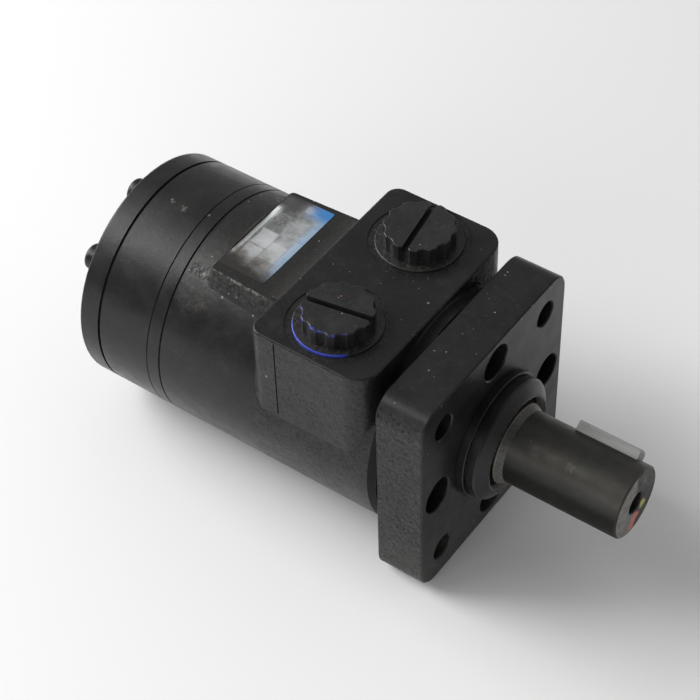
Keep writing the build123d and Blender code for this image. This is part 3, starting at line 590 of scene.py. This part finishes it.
def shaft_steel():
    """Oiled, stained shaft with a rough cone behind it and a marked end, and painted shade on its near
    side and in its centre hole.
    """
    graph = Graph("oiled_steel")
    rings = graph.noise(0.0013, 3, 0.6, stretch=(1, 0.02, 0.02))
    stains = graph.ramp(graph.noise(0.009, 5, 0.65, stretch=(0.6, 1, 1)), 0.3, 0.75)
    # Painted shade: a dark band along the shaft's near side, a little below its middle, with hardly any
    # shine.
    under = graph.times(
        graph.window(graph.z, -9 * MM, 5 * MM, 4 * MM),
        graph.ramp(graph.y, -4 * MM, -11 * MM),
    )
    brown = graph.ramp(graph.noise(0.004, 4, 0.7, shift=(6, 2, 1)), 0.56, 0.78, 0, 0.4)

    cone = graph.window(graph.x, 8.8 * MM, 11.55 * MM, 0.12 * MM)
    knurl = graph.noise(0.0007, 3, 0.7, shift=(3, 8, 8))
    cone_colour = graph.coats(
        CONE_DARK,
        (graph.ramp(knurl, 0.35, 0.65), CONE_LIGHT),
        (graph.times(graph.ramp(graph.x, 9.5 * MM, 9.2 * MM), 0.6), CONE_EDGE),
    )

    end = graph.times(graph.ramp(graph.facing_x, 0.90, 0.97), graph.ramp(graph.x, 50 * MM, 51 * MM))
    yellow = graph.fleck((SHAFT_END, 0.0045, -0.0046), 2.3 * MM, 0.6)
    red = graph.flecks(RED_SPOTS, 0.6)
    end_colour = shaft_end_colour(graph, red, yellow)
    rim = graph.times(
        graph.window(graph.facing_x, 0.35, 0.90, 0.03),
        graph.ramp(graph.x, 51 * MM, 52 * MM),
    )
    # Painted shade inside the centre hole and round its mouth.
    hole = graph.times(
        graph.ramp(graph.radius_about_x(), 4.4 * MM, 4.25 * MM),
        graph.ramp(graph.x, 30 * MM, 31 * MM),
    )
    smear = graph.either(
        graph.fleck((0.0325, -0.0072, 0.0105), 1.5 * MM, 1.0),
        graph.times(graph.fleck((0.0202, -0.0076, 0.0102), 2.0 * MM, 1.0), 0.4),
    )
    smear_grain = graph.ramp(graph.noise(0.0016, 4, 0.7, shift=(4, 1, 1)), 0.30, 0.70, 0.0, 0.40)
    dots = graph.either(
        graph.specks(0.0045, 0.16, 0.07),
        graph.specks(0.009, 0.2, 0.035, shift=(1, 4, 1)),
    )
    colour = graph.coats(
        OILED,
        (stains, OILED_LIGHT),
        # Painted shade along the near side.
        (under, UNDERSIDE_SHADE),
        (graph.ramp(rings, 0.40, 0.80, 0, 0.12), OIL_RINGS),
        (brown, OIL_BROWN),
        (cone, cone_colour),
        (end, end_colour),
        (rim, END_RIM),
        # Painted shade in the centre hole.
        (hole, CENTRE_HOLE_SHADE),
        (graph.times(smear, smear_grain), SMEAR),
        (graph.times(dots, 0.5), DUST),
    )

    graph.lift(rings, 0.010 * MM, 0.25)
    graph.lift(graph.noise(0.0022, 3), 0.02 * MM, 0.25)
    graph.lift(knurl, 0.06 * MM, graph.times(cone, 0.5))
    roughness = graph.ramp(graph.noise(0.004, 4, 0.6, shift=(1, 9, 4)), 0.3, 0.75, 0.36, 0.50)
    # No metal where there is paint or painted shade; the near-side shade also loses its shine.
    coated_and_painted_shade = graph.either(hole, rim, graph.times(end, graph.either(red, yellow)), under)
    metal = graph.times(graph.rest_of(coated_and_painted_shade), 0.9)
    return graph.finish(colour, roughness, metallic=metal, shine=graph.ramp(under, 0, 1, 0.5, 0.08))


def key_steel():
    graph = Graph("key_steel")
    grain = graph.noise(0.0010, 3, 0.6, stretch=(0.06, 1, 1))
    stain = graph.ramp(graph.noise(0.005, 4, 0.6), 0.55, 0.8, 0, 0.5)
    colour = graph.coats(KEY_DARK, (graph.ramp(grain, 0.35, 0.7), KEY_LIGHT), (stain, KEY_STAIN))
    graph.lift(grain, 0.01 * MM, 0.4)
    return graph.finish(colour, graph.ramp(grain, 0.3, 0.7, 0.44, 0.56), metallic=1.0)


def ground_steel(name, dark, light, stretch):
    """Bright inner steel, ground along or round the axis, with a film of oil."""
    graph = Graph(name)
    grain = graph.noise(0.0008, 3, 0.6, stretch=stretch)
    oil = graph.ramp(graph.noise(0.010, 3), 0.5, 0.8, 0, 0.35)
    colour = graph.coats(dark, (graph.ramp(grain, 0.3, 0.7), light), (oil, OIL_TINT))
    graph.lift(grain, 0.008 * MM, 0.5)
    return graph.finish(colour, graph.ramp(grain, 0.3, 0.7, 0.20, 0.32), metallic=1.0)


# ---- Rubber and plug plastic ---------------------------------------------------------------------
RUBBER = (0.012, 0.012, 0.012)
RUBBER_BLOOM = (0.028, 0.027, 0.026)
BLUE = (0.030, 0.050, 0.36)
PLUG_FOOT_DUST = (0.09, 0.085, 0.075)
RUST = (0.45, 0.10, 0.03)
RUST_SPOT = (-0.0462, -0.0176)


def seal_rubber():
    graph = Graph("seal_rubber")
    bloom = graph.ramp(graph.noise(0.004, 4), 0.4, 0.8, 0, 0.6)
    colour = graph.blend(bloom, RUBBER, RUBBER_BLOOM)
    graph.lift(graph.noise(0.0009, 2), 0.02 * MM, 0.4)
    return graph.finish(colour, graph.ramp(bloom, 0, 0.6, 0.42, 0.60))


def bare_plastic(graph, radius, angle, top, bare_from, bare_to):
    """Where the black spray is off: along one stretch of the plug's edges."""
    disc_rim = graph.times(
        graph.ramp(radius, 14.0 * MM, 14.25 * MM),
        graph.ramp(graph.z, 45.0 * MM, 44.8 * MM),
        graph.ramp(graph.noise(0.004, 3, 0.6, shift=(1, 1, 1)), 0.32, 0.42, 0.25, 1),
    )
    lobe_rim = graph.times(
        graph.ramp(graph.z, top - 0.9 * MM, top - 0.5 * MM),
        graph.ramp(radius, 10.9 * MM, 11.15 * MM),
        graph.ramp(graph.noise(0.0020, 3, 0.6), 0.48, 0.56),
    )
    return graph.times(graph.window(angle, bare_from, bare_to, 6), graph.either(disc_rim, lobe_rim))


def plug_plastic(side, bare_angles=None, flecks=()):
    """Blue moulded plastic under black spray, bare on the shank and between any angles on its edges."""
    graph = Graph(f"plug_plastic_{side}")
    node = f"port_plug_{side}"
    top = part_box(node)[1][2]
    radius, angle = graph.polar(middle(node))
    bare = graph.ramp(graph.z, 43.2 * MM, 42.8 * MM)
    if bare_angles:
        bare = graph.either(bare_plastic(graph, radius, angle, top, *bare_angles), bare)
    flat = graph.ramp(graph.facing_z, 0.8, 0.95)
    scuffs = graph.noise(0.0013, 4, 0.75, stretch=(1, 0.35, 1), shift=(2, 1, 5))
    film = graph.either(
        graph.times(graph.ramp(scuffs, 0.52, 0.72, 0, 0.55), flat),
        graph.ramp(graph.noise(0.006, 4, 0.7, shift=(7, 2, 5)), 0.40, 0.75, 0.03, 0.26),
    )
    foot = graph.times(
        graph.ramp(graph.z, 46.5 * MM, 44.8 * MM),
        graph.ramp(graph.noise(0.0012, 3, 0.7), 0.50, 0.64),
    )
    dots = graph.either(
        graph.specks(0.0026, 0.15, 0.11),
        graph.specks(0.006, 0.12, 0.06, shift=(3, 1, 2)),
    )
    colour = graph.coats(
        BLACK,
        (graph.ramp(graph.noise(0.009, 4), 0.3, 0.7), WORN_BLACK),
        (film, HAZE_AND_PAINTED_LIGHT),
        (graph.times(foot, 0.35), PLUG_FOOT_DUST),
        (graph.times(dots, 0.7), DUST),
        (bare, BLUE),
        *((graph.fleck((*place, top), spot_radius, 0.3), tint) for place, spot_radius, tint in flecks),
    )
    graph.lift(graph.noise(0.0012, 2), 0.04 * MM, 0.6)
    roughness = graph.ramp(graph.noise(0.003, 3), 0.3, 0.7, 0.27, 0.42)
    return graph.finish(colour, roughness, shine=0.42)


# ---- Label foil ----------------------------------------------------------------------------------
FOIL_DARK = (0.115, 0.115, 0.115)
FOIL_LIGHT = (0.50, 0.52, 0.53)
FOIL_SCRATCHES = (0.55, 0.54, 0.52)
FOIL_BLUE = (0.20, 0.36, 0.56)
CORNER_BLUE = (0.055, 0.21, 0.50)
DEEP_BLUE = (0.03, 0.09, 0.30)
FAR_BLACK = (0.050, 0.050, 0.052)
FAR_EDGE = (0.03, 0.03, 0.03)
PALE_STRIP = (0.74, 0.78, 0.76)
OLD_GREASE = (0.105, 0.088, 0.072)
FOIL_DIRT = (0.026, 0.024, 0.022)
FOIL_CRUMBS = (0.36, 0.33, 0.29)


def label_foil():
    """A worn foil label: pale strip at the back, blue at the far front corner, dirty near end."""
    graph = Graph("label_foil")
    patches = graph.blocks(8.5 * MM, 6.5 * MM, 0.6 * MM)
    clouds = graph.noise(0.0050, 3, 0.5, shift=(4, 4, 4))
    fine = graph.noise(0.0014, 3, 0.6, shift=(2, 7, 1))
    front = graph.ramp(graph.x, plate_low[0] + 4 * MM, plate_high[0] - 5 * MM)
    value = graph.add(graph.times(patches, 0.40), graph.times(clouds, 0.60), graph.times(front, 0.16))

    blue_edge = graph.ramp(graph.x, plate_high[0] - 4.5 * MM, plate_high[0] - 0.5 * MM, 0, 0.65)
    corner = graph.times(
        graph.ramp(graph.y, 12.5 * MM, 18 * MM),
        graph.ramp(graph.x, -87 * MM, -80 * MM),
    )
    deep = graph.times(
        graph.ramp(graph.y, 17.5 * MM, 20 * MM),
        graph.ramp(graph.x, -80 * MM, -84 * MM),
        corner,
    )
    far_back = graph.times(
        graph.ramp(graph.y, 9 * MM, 16 * MM),
        graph.ramp(graph.x, -83 * MM, -89 * MM),
        0.88,
    )
    far_edge = graph.times(
        graph.ramp(graph.y, plate_high[1] - 2.0 * MM, plate_high[1] - 0.2 * MM, 0, 0.8),
        graph.ramp(graph.x, -82 * MM, -86 * MM),
    )
    strip = graph.times(
        graph.ramp(graph.x, plate_low[0] + 1.7 * MM, plate_low[0] + 1.1 * MM),
        graph.window(graph.y, -16 * MM, 13.5 * MM, 1 * MM),
    )

    ragged = graph.add(
        graph.y,
        graph.times(graph.add(graph.noise(0.005, 5, 0.7), -0.5), 9 * MM),
        graph.times(graph.add(graph.x, -plate_low[0]), 0.25),
    )
    grease = graph.times(
        graph.ramp(ragged, 0, -11 * MM, 0, 0.85),
        graph.ramp(clouds, 0.30, 0.70, 1.0, 0.55),
    )
    dirt = graph.ramp(ragged, -7 * MM, -15 * MM)
    crumbs = graph.times(
        graph.specks(0.0022, 0.40, 0.34),
        graph.ramp(ragged, -14 * MM, -9 * MM),
        graph.ramp(graph.y, -8 * MM, -12 * MM),
        0.7,
    )
    colour = graph.coats(
        FOIL_DARK,
        (graph.ramp(value, 0.22, 0.80), FOIL_LIGHT),
        (graph.ramp(fine, 0.50, 0.70, 0, 0.25), FOIL_SCRATCHES),
        (blue_edge, FOIL_BLUE),
        (corner, CORNER_BLUE),
        (deep, DEEP_BLUE),
        (far_back, FAR_BLACK),
        (far_edge, FAR_EDGE),
        (strip, PALE_STRIP),
        (grease, OLD_GREASE),
        (dirt, FOIL_DIRT),
        (crumbs, FOIL_CRUMBS),
    )
    graph.lift(fine, 0.03 * MM, 0.3)
    return graph.finish(colour, graph.ramp(dirt, 0, 1, 0.38, 0.45), shine=0.4)


# ---- Build ---------------------------------------------------------------------------------------
def assign(material, *names):
    for name in names:
        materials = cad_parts[name].data.materials
        materials.clear()
        materials.append(material)


make_camera()
make_floor()
make_light()

seals = [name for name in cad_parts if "seal" in name and name != "seal_washers"]
rollers = [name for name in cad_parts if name.startswith("roller_")]
turned_steel = ground_steel("turned_steel", TURNED_DARK, TURNED_LIGHT, (1, 0.05, 0.05))
drawn_steel = ground_steel("drawn_steel", DRAWN_DARK, DRAWN_LIGHT, (0.05, 1, 1))

assign(housing_paint(), "housing")
assign(flange_paint(), "mounting_flange")
assign(machined_paint("plate_paint"), "spacer_plate", "geroler_ring", "end_cap")
assign(satin_paint(Graph("screw_paint")), "cap_screws", "flange_screws")
assign(washer_metal(), "seal_washers")
assign(shaft_steel(), "output_shaft")
assign(key_steel(), "shaft_key")
assign(seal_rubber(), "plug_ring_left", "plug_ring_right", *seals)
assign(plug_plastic("left", (-150, -45), [(RUST_SPOT, 0.32 * MM, RUST)]), "port_plug_left")
assign(plug_plastic("right"), "port_plug_right")
assign(label_foil(), "name_plate")
assign(turned_steel, "thrust_race", "bearing_cage", "bearing_needles", "backup_washer", "drive_spacer")
assign(drawn_steel, "star", "drive_link", *rollers)
